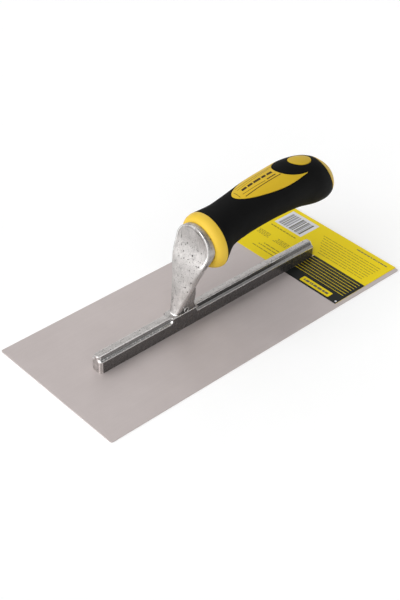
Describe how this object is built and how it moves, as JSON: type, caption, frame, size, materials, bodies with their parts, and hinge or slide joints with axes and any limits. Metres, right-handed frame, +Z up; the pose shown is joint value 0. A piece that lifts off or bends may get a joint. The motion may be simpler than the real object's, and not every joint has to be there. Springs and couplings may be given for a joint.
{
  "type": "finishing trowel",
  "caption": "Smooth rectangular finishing trowel: thin steel blade under a long cast rib, with a waisted two-colour grip held above it on a leaning cast neck.",
  "frame": {"origin": "centre of the blade's underside, the face that rests on the work", "axes": "+X along the blade from its bare toe end towards the labelled end and the grip's butt, +Y across the blade, +Z up from the blade to the grip"},
  "size_m": [0.2803, 0.12, 0.0943],
  "materials": {
    "blade_steel": "satin",
    "cast_aluminium": "tumbled casting, slightly pitted, satin",
    "rivet_aluminium": "ground flush",
    "zinc_steel": "zinc plated",
    "yellow_plastic": "satin moulded polypropylene",
    "black_rubber": "soft-touch, matt",
    "printed_card": "coated and printed"
  },
  "bodies": {
    "root": {"blade": "blade_steel", "rivet_1": "rivet_aluminium", "rivet_2": "rivet_aluminium", "rivet_3": "rivet_aluminium", "rivet_4": "rivet_aluminium", "rivet_5": "rivet_aluminium", "rivet_6": "rivet_aluminium", "rivet_7": "rivet_aluminium", "rivet_8": "rivet_aluminium", "mounting_casting": "cast_aluminium", "handle_core": "yellow_plastic", "rubber_grip": "black_rubber", "tang_washer": "zinc_steel", "tang_screw": "zinc_steel", "butt_cap": "yellow_plastic", "label": "printed_card"}
  },
  "joints": []
}
